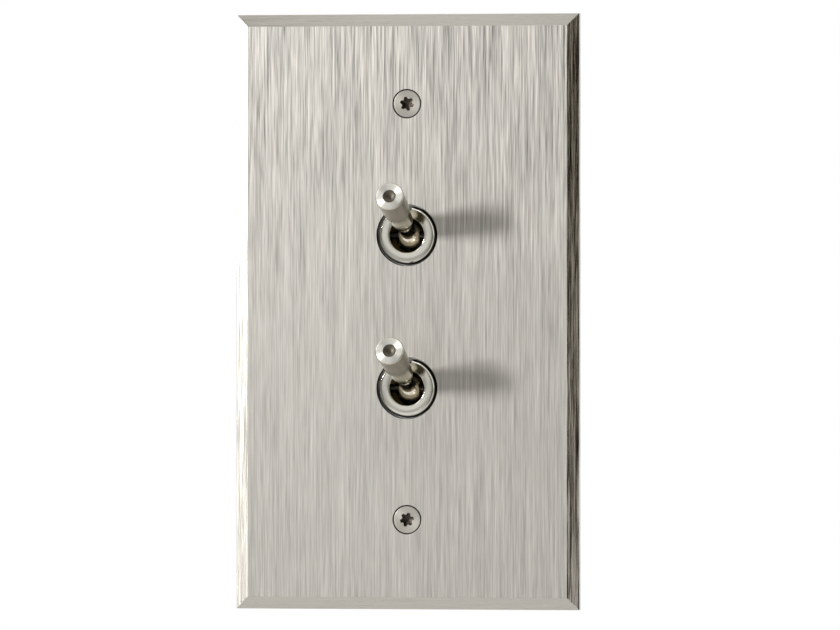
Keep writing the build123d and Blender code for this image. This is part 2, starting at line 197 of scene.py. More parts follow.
JOINTS = {joint["name"]: joint for joint in frame["joints"]}
PITCH_OF_SCREWS = next(
    mount["dims"]["pcd_mm"] for mount in frame["record"]["mounts"] if mount["kind"] == "bolt_pattern"
)
SWITCHES = ("upper", "lower")


# Mesh helpers


def new_piece(name, mesh):
    """Links a bmesh to the scene as a smooth-shaded piece."""
    bmesh.ops.recalc_face_normals(mesh, faces=mesh.faces)
    data = bpy.data.meshes.new(name)
    mesh.to_mesh(data)
    mesh.free()
    data.shade_smooth()
    piece = bpy.data.objects.new(name, data)
    bpy.context.scene.collection.objects.link(piece)
    return piece


def rounded(points, step=ARC_STEP):
    """Points of radius and depth, with the third value of each as the radius of an arc at that corner."""
    made = []
    count = len(points)
    for i, (radius, depth, ease) in enumerate(points):
        here = Vector((radius, depth))
        if ease == 0:
            made.append((radius, depth))
            continue
        before = (Vector(points[i - 1][:2]) - here).normalized()
        after = (Vector(points[(i + 1) % count][:2]) - here).normalized()
        opening = before.angle(after)
        reach = ease / tan(opening / 2)
        centre = here + (before + after).normalized() * (ease / sin(opening / 2))
        arms = [here + side * reach - centre for side in (before, after)]
        start, stop = (atan2(arm.y, arm.x) for arm in arms)
        turn = (stop - start + pi) % (2 * pi) - pi
        parts = max(2, ceil(abs(turn) / radians(step)))
        for k in range(parts + 1):
            angle = start + turn * k / parts
            made.append((centre.x + ease * cos(angle), centre.y + ease * sin(angle)))
    return made


def turned(name, rings, steps):
    """A mesh turned about its own Y axis, closed into a ring or between two points on the axis.

    Each ring has a radius and a depth. The radius may be a function of the angle.
    """
    mesh = bmesh.new()
    rows = []
    for radius, depth in rings:
        if radius == 0:
            rows.append([mesh.verts.new((0, depth * MM, 0))])
            continue
        row = []
        for k in range(steps):
            angle = 2 * pi * k / steps
            reach = radius(angle) if callable(radius) else radius
            row.append(mesh.verts.new(Vector((reach * cos(angle), depth, reach * sin(angle))) * MM))
        rows.append(row)
    starts_on_axis = rings[0][0] == 0
    following = rows[1:] if starts_on_axis else rows[1:] + rows[:1]
    for row, next_row in zip(rows, following):
        for k in range(steps):
            after = (k + 1) % steps
            corners = [row[k % len(row)], row[after % len(row)]]
            corners += [next_row[after % len(next_row)], next_row[k % len(next_row)]]
            mesh.faces.new(list(dict.fromkeys(corners)))
    return new_piece(name, mesh)


def drill(radius, start, stop, steps):
    """A round cutter along Y."""
    return turned("cutter", [(0, start), (radius, start), (radius, stop), (0, stop)], steps)


def pin_drill(gap, reach, depth=0.0):
    """A round cutter along X for the lever's pin, at a depth in metres."""
    cutter = drill(PIN_DIAMETER / 2 + gap, -reach, reach, PIN_STEPS)
    cutter.data.transform(Matrix.Translation((0, depth, 0)) @ Matrix.Rotation(radians(90), 4, "Z"))
    return cutter


def block(x, y, z):
    """A box from three pairs of low and high values, used as a cutter."""
    mesh = bmesh.new()
    bmesh.ops.create_cube(mesh, size=1)
    for vertex in mesh.verts:
        for axis, (low, high) in enumerate((x, y, z)):
            vertex.co[axis] = (high if vertex.co[axis] > 0 else low) * MM
    return new_piece("cutter", mesh)


def prism(outline, front, back):
    """A cutter from an outline of X and Z, between two depths."""
    mesh = bmesh.new()
    faces = []
    for y in (front, back):
        faces.append(mesh.faces.new([mesh.verts.new(Vector((x, y, z)) * MM) for x, z in outline]))
    near, far = (list(face.verts) for face in faces)
    for k, vertex in enumerate(near):
        after = (k + 1) % len(near)
        mesh.faces.new((vertex, near[after], far[after], far[k]))
    return new_piece("cutter", mesh)


def corner_arcs(width, height, radius, parts=10):
    """A rectangle with round corners, as X and Z."""
    outline = []
    for quarter, (side, up) in enumerate(((1, 1), (-1, 1), (-1, -1), (1, -1))):
        for k in range(parts + 1):
            angle = radians(90) * (quarter + k / parts)
            x = side * (width / 2 - radius) + radius * cos(angle)
            outline.append((x, up * (height / 2 - radius) + radius * sin(angle)))
    return outline


def raised(piece, height):
    """The piece with its mesh moved up by a height in metres."""
    piece.data.transform(Matrix.Translation((0, 0, height)))
    return piece


def cut(piece, *cutters):
    """Takes the cutters away from the piece, and deletes them."""
    for cutter in cutters:
        modifier = piece.modifiers.new("cut", "BOOLEAN")
        modifier.object = cutter
        modifier.operation = "DIFFERENCE"
        modifier.solver = "EXACT"
    bpy.context.view_layer.update()
    evaluated = piece.evaluated_get(bpy.context.evaluated_depsgraph_get())
    made = bpy.data.meshes.new_from_object(evaluated)
    piece.modifiers.clear()
    piece.data = made
    made.name = piece.name
    for cutter in cutters:
        bpy.data.objects.remove(cutter)


def ease_edges(piece, width, angle):
    """Small rounded chamfers that catch the light along every edge sharper than the angle."""
    bevel = piece.modifiers.new("ease", "BEVEL")
    bevel.width = width * MM
    bevel.segments = 2
    bevel.limit_method = "ANGLE"
    bevel.angle_limit = radians(angle)
    bevel.harden_normals = True
    bevel.use_clamp_overlap = True


def even_shading(piece, sharp):
    """Keeps flat faces flat in shading where they meet small rounded edges."""
    piece.data.set_sharp_from_angle(angle=radians(sharp))
    weighted = piece.modifiers.new("shading", "WEIGHTED_NORMAL")
    weighted.mode = "FACE_AREA"
    weighted.keep_sharp = True


def thread_radius(major, pitch, depth, limit):
    """A ring's radius on a helical thread, never past the limit."""

    def reach(angle):
        turn = (depth / pitch + angle / (2 * pi)) % 1
        away = abs(turn - 0.5) * 2
        share = min(1, max(0, (away - THREAD_CREST) / (1 - THREAD_CREST - THREAD_ROOT)))
        return min(limit, major - THREAD_DEPTH * pitch * share)

    return reach


def thread_rings(major, pitch, start, stop, chamfer, rows):
    """The rings of a thread between two depths, with both its ends chamfered."""
    count = round((stop - start) / pitch * rows)
    rings = []
    for k in range(count + 1):
        depth = start + (stop - start) * k / count
        limit = major - max(0, chamfer - min(depth - start, stop - depth))
        rings.append((thread_radius(major, pitch, depth, limit), depth))
    return rings


def paint(piece, finishes, choose):
    """Gives each face the finish that choose names, from the face's middle and its normal."""
    piece.data.materials.clear()
    for finish in finishes.values():
        piece.data.materials.append(finish)
    names = list(finishes)
    for face in piece.data.polygons:
        face.material_index = names.index(choose(face.center / MM, face.normal))


def stand_for(piece, node, body):
    """The piece is shown instead of a CAD node, and moves with its body."""
    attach(piece, body)
    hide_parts(node)


# Node helpers


class Finish:
    """A material, with short ways of adding and joining its nodes."""

    def __init__(self, name):
        self.material = bpy.data.materials.new(name)
        self.material.use_nodes = True
        self.tree = self.material.node_tree
        self.tree.nodes.clear()
        self.shader = self.add("ShaderNodeBsdfPrincipled")
        output = self.add("ShaderNodeOutputMaterial")
        self.give(output.inputs["Surface"], self.shader.outputs[0])
        self.place = self.add("ShaderNodeTexCoord").outputs["Object"]

    def add(self, kind, values=None, **settings):
        node = self.tree.nodes.new(kind)
        for name, value in settings.items():
            setattr(node, name, value)
        for name, value in (values or {}).items():
            self.give(node.inputs[name], value)
        return node

    def give(self, socket, value):
        """Joins another node's output to the socket, or sets the socket's own value."""
        if isinstance(value, bpy.types.NodeSocket):
            self.tree.links.new(value, socket)
        else:
            socket.default_value = value

    def math(self, operation, a, b):
        return self.add("ShaderNodeMath", {0: a, 1: b}, operation=operation).outputs[0]

    def vector(self, operation, a, b):
        return self.add("ShaderNodeVectorMath", {0: a, 1: b}, operation=operation).outputs[0]

    def noise(self, scale, detail, source=None):
        """Noise from 0 to 1, with one scale along each axis, in repeats a metre."""
        place = self.vector("MULTIPLY", source or self.place, scale)
        return self.add("ShaderNodeTexNoise", {"Vector": place, "Scale": 1.0, "Detail": detail}).outputs[0]

    def cloud(self, scale, detail):
        """Noise with the same scale along every axis."""
        return self.noise((scale, scale, scale), detail)

    def ramp(self, value, low, high, out_low=0.0, out_high=1.0):
        """A soft ramp between two outputs, as the value goes from low to high."""
        values = {"Value": value, "From Min": low, "From Max": high, "To Min": out_low, "To Max": out_high}
        return self.add("ShaderNodeMapRange", values, interpolation_type="SMOOTHSTEP").outputs[0]

    def average(self, a, b):
        return self.math("ADD", self.math("MULTIPLY", a, 0.5), self.math("MULTIPLY", b, 0.5))

    def swing(self, noise, amount):
        """The noise moved to lie about zero, and made larger by the amount."""
        return self.math("MULTIPLY", self.math("SUBTRACT", noise, 0.5), amount)

    def blend(self, share, a, b):
        values = {0: share, 6: (*a, 1.0), 7: (*b, 1.0)}
        return self.add("ShaderNodeMix", values, data_type="RGBA").outputs[2]

    def tone(self, colour, share):
        """The colour made lighter or darker by a factor."""
        return self.add("ShaderNodeVectorMath", {0: colour, 3: share}, operation="SCALE").outputs[0]

    def parts(self, vector):
        """The X, Y and Z of a vector."""
        return self.add("ShaderNodeSeparateXYZ", {0: vector}).outputs

    def joined(self, x=0.0, y=0.0, z=0.0):
        return self.add("ShaderNodeCombineXYZ", {0: x, 1: y, 2: z}).outputs[0]

    def bump(self, value, strength, depth):
        values = {"Height": value, "Strength": strength, "Distance": depth * MM}
        return self.add("ShaderNodeBump", values).outputs[0]

    def set(self, **values):
        """Sets the shader's sockets, and gives the finished material."""
        for name, value in values.items():
            self.give(self.shader.inputs[name.replace("_", " ")], value)
        return self.material


def brushed(name, colour, along, contrast, roughness, anisotropy, painted_light_fade=1.0):
    """Metal brushed in long straight strokes along X or Z. Their contrast fades towards the bottom, as painted
    light for the way the light shows the strokes more at the top.
    """
    broad_contrast = 0.12
    brightest = 1.7
    faded_at = 0.3
    smoother, rougher = 0.05, 0.06
    finish = Finish(name)

    def strokes(width, length, detail, shift):
        """Noise in strokes of about that width and length."""
        scale = [1 / (2 * width * MM)] * 3
        scale["XYZ".index(along)] = 1 / (2 * length * MM)
        moved = finish.vector("ADD", finish.place, (shift, shift, shift))
        return finish.noise(tuple(scale), detail, moved)

    fine = strokes(width=0.07, length=3.0, detail=1.0, shift=0.0)
    middle = strokes(width=0.14, length=9.0, detail=1.0, shift=0.3)
    broad = strokes(width=1.2, length=90.0, detail=0.0, shift=0.7)
    mixed = finish.average(fine, middle)
    low, high = (corner.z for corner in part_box("faceplate"))
    height = finish.parts(finish.place)[2]
    # Painted light: the strokes' contrast grows from the bottom to the top.
    amount = finish.ramp(height, low=faded_at * low, high=high, out_low=contrast * painted_light_fade, out_high=contrast)
    share = finish.math("ADD", finish.swing(mixed, amount), 1.0)
    share = finish.math("ADD", share, finish.swing(broad, broad_contrast))
    share = finish.math("MINIMUM", share, brightest)
    across = (1.0, 0.0, 0.0) if along == "Z" else (0.0, 0.2, 1.0)
    return finish.set(
        Base_Color=finish.tone(colour, share),
        Metallic=1.0,
        Roughness=finish.ramp(mixed, 0.3, 0.7, out_low=roughness - smoother, out_high=roughness + rougher),
        Anisotropic=anisotropy,
        Tangent=finish.joined(*across),
        Normal=finish.bump(mixed, strength=0.5, depth=0.02),
    )


def turned_metal(name, colour, roughness, marks, anisotropy, dull=0.04):
    """Metal turned on a lathe, with fine rings about the piece's own Y axis."""
    ring_scale = 9000.0
    ring_contrast = 0.16
    across_the_rings = 0.25
    finish = Finish(name)
    x, y, z = finish.parts(finish.place)
    flat = finish.joined(x=x, z=z)
    distance = finish.add("ShaderNodeVectorMath", {0: flat}, operation="LENGTH").outputs["Value"]
    rings = finish.noise((ring_scale, ring_scale, 1.0), 2.0, finish.joined(x=distance, y=y))
    cloud = finish.cloud(260.0, detail=3.0)
    share = finish.math("ADD", finish.swing(rings, ring_contrast), 1.0)
    return finish.set(
        Base_Color=finish.tone(colour, share),
        Metallic=1.0,
        Roughness=finish.ramp(cloud, low=0.35, high=0.7, out_low=roughness, out_high=roughness + dull),
        Anisotropic=anisotropy,
        Anisotropic_Rotation=across_the_rings,
        Tangent=finish.add("ShaderNodeTangent", direction_type="RADIAL", axis="Y").outputs[0],
        Normal=finish.bump(rings, strength=marks, depth=0.01),
    )


def plated_metal(name, colour, roughness):
    """Plated or rolled sheet: cloudy, with faint rolling lines along X."""
    finish = Finish(name)
    cloud = finish.cloud(900.0, detail=4.0)
    lines = finish.noise((300.0, 6000.0, 6000.0), detail=2.0)
    shade = finish.ramp(cloud, low=0.3, high=0.7, out_low=0.86, out_high=1.06)
    return finish.set(
        Base_Color=finish.tone(colour, shade),
        Metallic=1.0,
        Roughness=finish.ramp(cloud, low=0.3, high=0.75, out_low=roughness, out_high=roughness + 0.14),
        Normal=finish.bump(finish.average(cloud, lines), strength=0.25, depth=0.01),
    )


def moulding(name, colour, roughness):
    """Moulded plastic with a fine sparked skin."""
    finish = Finish(name)
    skin = finish.cloud(9000.0, detail=3.0)
    cloud = finish.cloud(500.0, detail=3.0)
    light = tuple(min(1.0, part * 1.25 + 0.004) for part in colour)
    return finish.set(
        Base_Color=finish.blend(finish.ramp(cloud, low=0.3, high=0.7), colour, light),
        Roughness=finish.ramp(cloud, low=0.3, high=0.7, out_low=roughness, out_high=roughness + 0.1),
        Normal=finish.bump(skin, strength=0.35, depth=0.01),
    )


def plain_stage(name, colour):
    """Smooth painted surface for the floor and the cards round the object."""
    finish = Finish(name)
    shade = finish.ramp(finish.cloud(6.0, detail=2.0), low=0.2, high=0.8, out_low=0.985, out_high=1.0)
    return finish.set(Base_Color=finish.tone(colour, shade), Roughness=0.9)


# The pieces that are rebuilt


def faceplate_blank():
    """The plate's bevelled outside, without holes."""
    low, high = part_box("faceplate")
    front = low.y / MM
    mesh = bmesh.new()
    rows = []
    for inset, depth in ((BEVEL_WIDTH, front), (0, front + BEVEL_DEPTH), (0, 0)):
        x, z = high.x / MM - inset, high.z / MM - inset
        corners = ((x, depth, z), (-x, depth, z), (-x, depth, -z), (x, depth, -z))
        rows.append([mesh.verts.new(Vector(corner) * MM) for corner in corners])
    mesh.faces.new(rows[0])
    mesh.faces.new(rows[-1])
    for row, after in zip(rows, rows[1:]):
        for k in range(4):
            mesh.faces.new((row[k], row[(k + 1) % 4], after[(k + 1) % 4], after[k]))
    return new_piece("plate", mesh)


def make_faceplate(finishes):
    """Bevelled plate with its holes, countersinks and pocket, and eased edges."""
    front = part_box("faceplate")[0].y / MM
    piece = faceplate_blank()
    pocket = corner_arcs(POCKET_WIDTH, POCKET_HEIGHT, POCKET_CORNER)
    cutters = [prism(pocket, -POCKET_DEPTH, CUTTER_SPARE)]
    for name in SWITCHES:
        hole = drill(BUSH_HOLE / 2, front - CUTTER_SPARE, CUTTER_SPARE, PLATE_HOLE_STEPS)
        cutters.append(raised(hole, JOINTS[f"{name}_lever_tilt"]["pos_m"][2]))
    mouth = SCREW_SINK / 2
    depth = SINK_SPARE - front
    sink = [
        (0, front - SINK_SPARE),
        (mouth + SINK_SPARE, front - SINK_SPARE),
        (mouth - depth, front + depth),
        (0, front + depth),
    ]
    for sign in (1, -1):
        cutters.append(raised(turned("cutter", sink, SINK_STEPS), sign * PITCH_OF_SCREWS * MM / 2))
    cut(piece, *cutters)

    def choose(middle, normal):
        x, y, z = middle
        near_a_hole = abs(x) < BUSH_HOLE / 2 and abs(z) < (PITCH_OF_SCREWS + SCREW_SINK) / 2
        # The walls of the holes and countersinks get painted shade, a near-black finish.
        if near_a_hole and -FLAT < normal.y < SLANT and y > front + FRONT_MARGIN:
            return "hole"
        if normal.y > FLAT:
            return "back"
        # The right bevel gets a finish painted darker as shade, and the left one a finish painted lighter as
        # light.
        if abs(normal.x) > SLANT and abs(normal.z) < SQUARE and abs(x) > POCKET_WIDTH / 2 - EDGE_MARGIN:
            return "right" if normal.x > 0 else "left"
        if abs(normal.z) > SLANT and abs(normal.x) < SQUARE and abs(z) > POCKET_HEIGHT / 2 - EDGE_MARGIN:
            return "level"
        return "face"

    paint(piece, finishes, choose)
    ease_edges(piece, PLATE_EASE, angle=8)
    stand_for(piece, "faceplate", "plate")


def star_radius(turn, grow=0.0):
    """The radius of a six-lobe recess at an angle: a circle with six round notches."""
    outer = LOBE_ACROSS / 2
    notch = (LOBE_ACROSS - LOBE_WAIST) / 2 + LOBE_EASE
    centre = outer + LOBE_EASE
    sixth = pi / 3

    def reach(angle):
        from_notch = (angle - radians(turn)) % sixth - sixth / 2
        side = centre * sin(from_notch)
        if abs(side) >= notch:
            return outer + grow
        return min(outer, centre * cos(from_notch) - sqrt(notch**2 - side**2)) + grow

    return reach


def make_plate_screw(name, finishes):
    """Countersunk machine screw with a six-lobe recess and a cut thread."""
    head, neck = SCREW_HEAD / 2, SCREW_NECK / 2
    top = SCREW_TOP
    bottom = top + LOBE_DEPTH
    cone_top = top + SCREW_HEAD_EDGE
    neck_top = cone_top + head - neck
    turn = LOBE_TURN[name]
    rings = [
        (0, bottom + RECESS_POINT),
        (LOBE_WAIST / 4, bottom + RECESS_CONE),
        (star_radius(turn, -RECESS_DRAFT), bottom),
        (star_radius(turn, -RECESS_LIP_DRAFT), top + RECESS_LIP),
        (star_radius(turn), top + SCREW_EASE),
        (star_radius(turn, SCREW_EASE), top),
    ]
    rings += [(head - inset, top) for inset in SCREW_FACE_RINGS]
    edge = [(*rings[-1], 0), (head, top, SCREW_EASE), (head, cone_top, SCREW_EASE), (neck, neck_top, 0)]
    rings += rounded(edge)[1:]
    rings += [(neck, SCREW_NECK_END)]
    rings += thread_rings(SCREW_THREAD / 2, SCREW_PITCH, SCREW_THREAD_TOP, SCREW_END, SCREW_TIP, rows=10)
    rings += [(0, SCREW_END)]
    piece = turned(f"{name}_wall_screw", rings, SCREW_STEPS)
    sign = 1 if name == "upper" else -1
    piece.matrix_world = Matrix.Translation((0, 0, sign * PITCH_OF_SCREWS * MM / 2))
    even_shading(piece, sharp=35)

    def choose(middle, normal):
        x, y, z = middle
        # The recess and the underside of the head are painted dark as shade.
        in_recess = top + SCREW_EASE < y < bottom + LOBE_DEPTH and hypot(x, z) < LOBE_ACROSS / 2
        under_head = cone_top - EDGE_MARGIN < y < 0
        return "shaded" if in_recess or under_head else "head"

    paint(piece, finishes, choose)
    stand_for(piece, f"{name}_plate_screw", "plate")


def make_bush(name, finishes):
    """Threaded bush with a polished face, a keyway and holes for the lever's pin."""
    outer, bore = BUSH_OUTER / 2, BUSH_BORE / 2
    rear, spigot = BUSH_REAR_BORE / 2, BUSH_SPIGOT / 2
    back = BUSH_FRONT + BUSH_LENGTH
    end = back + BUSH_SPIGOT_LENGTH
    ease = BUSH_SPIGOT_EASE
    face = [
        (bore, BUSH_BORE_STEP, 0),
        (bore, BUSH_FRONT, BUSH_BORE_EASE),
        (outer - BUSH_CHAMFER, BUSH_FRONT, BUSH_FACE_EASE),
        (outer, BUSH_FRONT + BUSH_CHAMFER, 0),
    ]
    rings = rounded(face)[1:-1]
    thread_top = BUSH_FRONT + BUSH_THREAD_START
    rings += thread_rings(outer, BUSH_THREAD_PITCH, thread_top, back, BUSH_CHAMFER, rows=12)
    rings += [(spigot, back), (spigot, end - ease), (spigot - ease, end)]
    rings += [(rear + ease, end), (rear, end - ease)]
    rings += [(rear, BUSH_BORE_STEP + rear - bore), (bore, BUSH_BORE_STEP)]
    piece = turned(f"{name}_bush_threaded", rings, BUSH_STEPS)
    half = KEYWAY_WIDTH / 2
    sides = (-half, half)
    depths = (BUSH_FRONT - CUTTER_SPARE, back)
    keyway = block(sides, depths, (outer - KEYWAY_DEPTH, outer + CUTTER_SPARE))
    pivot = Vector(JOINTS[f"{name}_lever_tilt"]["pos_m"])
    cut(piece, keyway, pin_drill(PIN_GAP_IN_BUSH, outer + CUTTER_SPARE, pivot.y))
    piece.matrix_world = Matrix.Translation((0, 0, pivot.z))
    even_shading(piece, sharp=32)

    def choose(middle, normal):
        x, y, z = middle
        # The front of the thread, inside the plate's hole, gets painted shade.
        past_the_face = hypot(x, z) > outer - BUSH_CHAMFER - EDGE_MARGIN
        return "gap" if past_the_face and BUSH_FRONT + BUSH_CHAMFER / 2 < y < 0 else "face"

    paint(piece, finishes, choose)
    stand_for(piece, f"{name}_bush", "plate")


def lever_frame(name):
    """The lever's own frame: its pivot, tilted as at rest. Its Y axis points along the tail."""
    joint = JOINTS[f"{name}_lever_tilt"]
    tilt = -radians(joint["range_deg"][1]) / 2
    return Matrix.Translation(joint["pos_m"]) @ Matrix.Rotation(tilt, 4, "X")


def lever_rings():
    """The lever's outline from the dimple to the end of the bore in its tail."""
    tip, neck, dimple = TIP_DIAMETER / 2, NECK_DIAMETER / 2, DIMPLE_DIAMETER / 2
    ball, tail, bore = BALL_DIAMETER / 2, TAIL_DIAMETER / 2, TAIL_BORE / 2
    dimple_floor = dimple * tan(radians(DIMPLE_SLOPE)) - LEVER_LENGTH
    bat_y = BAT_LENGTH - LEVER_LENGTH
    stem_y = bat_y + STEM_LENGTH
    handle = [
        (0, dimple_floor, 0),
        (dimple, -LEVER_LENGTH, STEP_EASE),
        (tip, -LEVER_LENGTH, TIP_EDGE),
        (BAT_FOOT_DIAMETER / 2, bat_y, STEP_EASE),
        (STEM_DIAMETER / 2, bat_y + STEM_STEP, STEP_EASE),
        (STEM_END_DIAMETER / 2, stem_y, SHOULDER_ROUND),
        (neck, stem_y + SHOULDER_LENGTH, NECK_ROUND),
        (neck, 0, 0),
    ]
    rings = rounded(handle, FINE_ARC_STEP)[:-1]
    start, stop = asin(neck / ball), pi - asin(tail / ball)
    for k in range(BALL_ARC_STEPS + 1):
        angle = start + (stop - start) * k / BALL_ARC_STEPS
        rings.append((ball * sin(angle), -ball * cos(angle)))
    end = [(tail, 0, 0), (tail, TAIL_LENGTH, TAIL_EASE), (bore, TAIL_LENGTH, TAIL_EASE), (bore, 0, 0)]
    rings += rounded(end)[1:-1]
    return rings + [(bore, TAIL_BORE_START), (0, TAIL_BORE_START)], dimple_floor


def make_lever(name, finishes):
    """Turned lever: dimpled bat, stem, neck, ball with two flats and hollow tail, in one piece."""
    rings, dimple_floor = lever_rings()
    piece = turned(f"{name}_lever_turned", rings, LEVER_STEPS)
    ball, flat = BALL_DIAMETER / 2, BALL_WIDTH / 2
    whole = (-ball, ball)
    sides = [block(x, whole, whole) for x in ((flat, ball + CUTTER_SPARE), (-ball - CUTTER_SPARE, -flat))]
    cut(piece, *sides, pin_drill(PIN_GAP_IN_LEVER, ball + CUTTER_SPARE))
    piece.matrix_world = lever_frame(name)
    even_shading(piece, sharp=32)

    def choose(middle, normal):
        x, y, z = middle
        if y < TIP_MARGIN - LEVER_LENGTH:
            return "tip"
        if y > -ball:
            return "ball"
        # The dimple is painted dark as shade.
        if y < dimple_floor and hypot(x, z) < DIMPLE_DIAMETER / 2:
            return "dimple"
        return "bat"

    paint(piece, finishes, choose)
    stand_for(piece, f"{name}_lever", f"{name}_lever_body")


def make_spring(name, material):
    """Compression spring of round wire with its end turns closed."""
    wire, mean = SPRING_WIRE / 2, (SPRING_DIAMETER - SPRING_WIRE) / 2
    low, high = SPRING_START + wire, SPRING_STOP - wire
    closed = SPRING_CLOSED_TURNS
    total = SPRING_TURNS + 2 * closed
    mesh = bmesh.new()
    rows = []
    for k in range(round(total * SPRING_STEPS) + 1):
        turn = k / SPRING_STEPS
        share = min(1, max(0, (turn - closed) / (total - 2 * closed)))
        closed_so_far = min(turn, closed) + max(0, turn - total + closed)
        depth = low + SPRING_WIRE * closed_so_far + (high - low - 2 * closed * SPRING_WIRE) * share
        out = Vector((cos(2 * pi * turn), 0, sin(2 * pi * turn)))
        centre = out * mean + Vector((0, depth, 0))
        ring = []
        for s in range(WIRE_STEPS):
            angle = 2 * pi * s / WIRE_STEPS
            on_wire = centre + out * wire * cos(angle) + Vector((0, wire * sin(angle), 0))
            ring.append(mesh.verts.new(on_wire * MM))
        rows.append(ring)
    for row, after in zip(rows, rows[1:]):
        for s in range(WIRE_STEPS):
            t = (s + 1) % WIRE_STEPS
            mesh.faces.new((row[s], row[t], after[t], after[s]))
    mesh.faces.new(rows[0])
    mesh.faces.new(rows[-1])
    piece = new_piece(f"{name}_spring_wound", mesh)
    piece.matrix_world = lever_frame(name)
    piece.data.materials.append(material)
    stand_for(piece, f"{name}_plunger_spring", f"{name}_lever_body")
    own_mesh(piece)


def dress_node(node, material, ease=0.0):
    """A carried-over CAD node: its material, and slightly eased edges."""
    piece = frame["nodes"][node]
    paint(piece, {"all": material}, lambda middle, normal: "all")
    if ease:
        weld = piece.modifiers.new("weld", "WELD")
        weld.merge_threshold = 1e-6
        flat = piece.modifiers.new("flat", "DECIMATE")
        flat.decimate_type = "DISSOLVE"
        flat.angle_limit = radians(0.3)
        ease_edges(piece, ease, angle=30)


# Floor, cards, light and camera


def sheet(name, width, height, colour):
    """A flat rectangle of painted stage material, in its own X and Y."""
    mesh = bmesh.new()
    bmesh.ops.create_grid(mesh, x_segments=1, y_segments=1, size=0.5)
    bmesh.ops.scale(mesh, vec=(width, height, 1), verts=mesh.verts)
    piece = new_piece(name, mesh)
    piece.data.materials.append(plain_stage(name, colour))
    return piece


def away(azimuth, elevation=0.0):
    """The direction from the plate to a place on its room side."""
    a, e = radians(azimuth), radians(elevation)
    return Vector((sin(a) * cos(e), -cos(a) * cos(e), sin(e)))


def make_floor():
    floor = sheet("floor", *FLOOR_SIZE, FLOOR_COLOUR)
    floor.location = FLOOR_PLACE


def card(name, azimuth, distance, width, height):
    """A dark card that faces the plate and shows only in reflections."""
    piece = sheet(name, width, height, CARD_COLOUR)
    back = away(azimuth)
    turn = back.to_track_quat("Z", "Y").to_matrix().to_4x4()
    piece.matrix_world = Matrix.Translation(back * distance) @ turn
    piece.visible_camera = False
    piece.visible_diffuse = False
    piece.visible_shadow = False


def soft_light(name, azimuth, elevation, distance, width, height, watts):
    lamp = bpy.data.lights.new(name, "AREA")
    lamp.shape = "RECTANGLE"
    lamp.size, lamp.size_y = width, height
    lamp.energy = watts
    light = bpy.data.objects.new(name, lamp)
    back = away(azimuth, elevation)
    light.location = back * distance
    light.rotation_mode = "QUATERNION"
    light.rotation_quaternion = back.to_track_quat("Z", "Y")
    bpy.context.scene.collection.objects.link(light)


def make_world(diffuse):
    """White to the camera and in reflections, and weaker as the light that fills the shadows."""
    world = bpy.data.worlds.new("studio")
    bpy.context.scene.world = world
    world.use_nodes = True
    tree = world.node_tree
    tree.nodes.clear()
    path = tree.nodes.new("ShaderNodeLightPath")
    seen = path.outputs["Is Camera Ray"]
    for ray in ("Is Glossy Ray", "Is Transmission Ray"):
        either = tree.nodes.new("ShaderNodeMath")
        either.operation = "MAXIMUM"
        tree.links.new(seen, either.inputs[0])
        tree.links.new(path.outputs[ray], either.inputs[1])
        seen = either.outputs[0]
    strength = tree.nodes.new("ShaderNodeMapRange")
    tree.links.new(seen, strength.inputs["Value"])
    strength.inputs["To Min"].default_value = diffuse
    background = tree.nodes.new("ShaderNodeBackground")
    background.inputs["Color"].default_value = (1, 1, 1, 1)
    tree.links.new(strength.outputs[0], background.inputs["Strength"])
    output = tree.nodes.new("ShaderNodeOutputWorld")
    tree.links.new(background.outputs[0], output.inputs["Surface"])


def make_camera():
    back, right = away(VIEW_AZIMUTH), away(VIEW_AZIMUTH + 90)
    data = bpy.data.cameras.new("camera")
    data.sensor_width = VIEW_SENSOR
    data.lens = VIEW_LENS
    data.clip_start, data.clip_end = VIEW_CLIP
    camera = bpy.data.objects.new("camera", data)
    bpy.context.scene.collection.objects.link(camera)
    low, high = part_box("faceplate")
    aim = (low + high) / 2 + right * AIM_RIGHT - Vector((0, 0, AIM_DOWN))
    camera.location = aim + back * VIEW_DISTANCE
    camera.rotation_mode = "QUATERNION"
    camera.rotation_quaternion = back.to_track_quat("Z", "Y")
    bpy.context.scene.camera = camera


# The finishes

PLATE = {
    "face": brushed(
        "plate_brushed_upright",
        (0.425, 0.408, 0.378),
        along="Z",
        contrast=3.1,
        roughness=0.52,
        anisotropy=0.45,
        painted_light_fade=0.4,
    ),
    "level": brushed(
        "plate_brushed_level",
        (0.56, 0.53, 0.48),
        along="X",
        contrast=0.4,
        roughness=0.3,
        anisotropy=0.8,
    ),
    # right: the same steel as the left bevel, painted darker and with strong dark strokes, as painted shade
    "right": brushed(
        "plate_bevel_right_painted_shade",
        (0.53, 0.5, 0.45),
        along="Z",
        contrast=6.5,
        roughness=0.26,
        anisotropy=0.4,
    ),
    # left: the same steel as the right bevel, painted lighter and with faint strokes, as painted light
    "left": brushed(
        "plate_bevel_left_painted_light",
        (0.6, 0.57, 0.52),
        along="Z",
        contrast=1.6,
        roughness=0.26,
        anisotropy=0.4,
    ),
    "back": brushed(
        "plate_milled_back",
        (0.5, 0.49, 0.47),
        along="Z",
        contrast=0.5,
        roughness=0.4,
        anisotropy=0.8,
    ),
    # hole: painted shade, near black, on the walls of the holes and countersinks
    "hole": brushed(
        "plate_hole_wall_painted_shade",
        (0.05, 0.047, 0.043),
        along="X",
        contrast=0.5,
        roughness=0.5,
        anisotropy=0.8,
    ),
}
